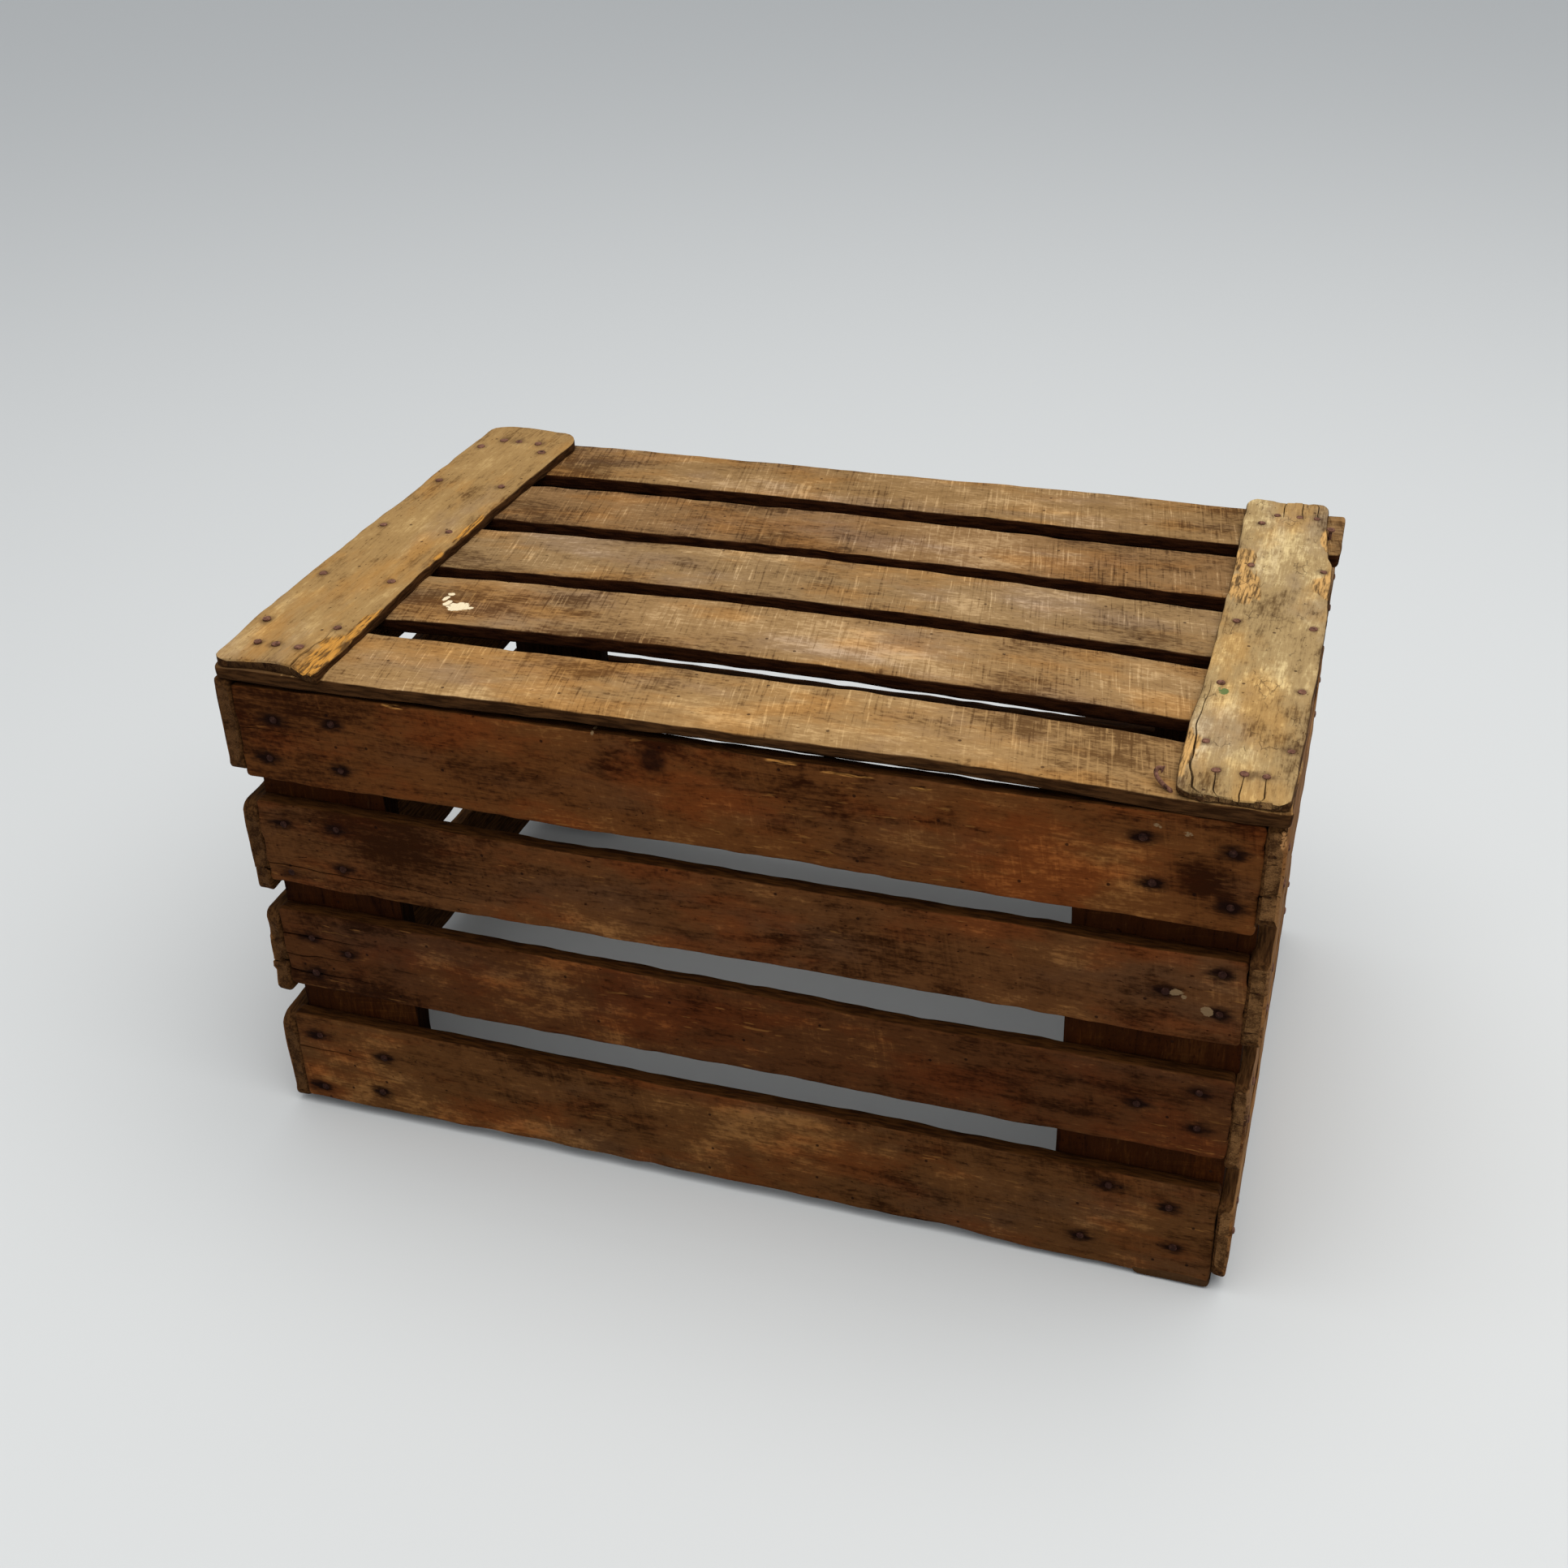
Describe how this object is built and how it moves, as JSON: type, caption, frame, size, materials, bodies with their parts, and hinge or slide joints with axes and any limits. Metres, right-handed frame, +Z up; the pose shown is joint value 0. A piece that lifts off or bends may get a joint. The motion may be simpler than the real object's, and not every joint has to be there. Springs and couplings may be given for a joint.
{
  "type": "slatted fruit crate",
  "caption": "Old slatted wooden fruit crate, nailed together, standing upside down on its open mouth, with its slatted floor and two end battens uppermost.",
  "frame": {"origin": "on the ground, under the middle of the crate as it stands upside down", "axes": "+X along the long walls, towards the end with the pale batten; +Y from the front wall to the back; +Z up, towards the slatted floor"},
  "size_m": [0.6424, 0.4008, 0.3529],
  "materials": {
    "side_wood": "rough sawn, weathered, dark red-brown",
    "end_wood": "rough sawn, weathered, dark brown",
    "floor_wood": "rough sawn, weathered, tan-brown with grey patches",
    "dark_batten_wood": "rough sawn, weathered, tan, stained at the nails",
    "pale_batten_wood": "rough sawn, weathered, pale yellow-tan, split",
    "board_wood": "rough sawn, reddish brown",
    "rusty_nail": "rusted"
  },
  "bodies": {
    "root": {"front_slat_1": "side_wood", "front_slat_2": "side_wood", "front_slat_3": "side_wood", "front_slat_4": "side_wood", "back_slat_1": "side_wood", "back_slat_2": "side_wood", "back_slat_3": "side_wood", "back_slat_4": "side_wood", "left_end_slat_1": "end_wood", "left_end_slat_2": "end_wood", "left_end_slat_3": "end_wood", "left_end_slat_4": "end_wood", "right_end_slat_1": "end_wood", "right_end_slat_2": "end_wood", "right_end_slat_3": "end_wood", "right_end_slat_4": "end_wood", "floor_slat_1": "floor_wood", "floor_slat_2": "floor_wood", "floor_slat_3": "floor_wood", "floor_slat_4": "floor_wood", "floor_slat_5": "floor_wood", "left_batten": "dark_batten_wood", "right_batten": "pale_batten_wood", "front_left_corner_board": "board_wood", "front_right_corner_board": "board_wood", "back_left_corner_board": "board_wood", "back_right_corner_board": "board_wood", "front_right_foot": "board_wood", "front_nails": "rusty_nail", "back_nails": "rusty_nail", "left_end_nails": "rusty_nail", "right_end_nails": "rusty_nail", "left_batten_nails": "rusty_nail", "right_batten_nails": "rusty_nail", "foot_nails": "rusty_nail", "bent_nail": "rusty_nail"}
  },
  "joints": []
}
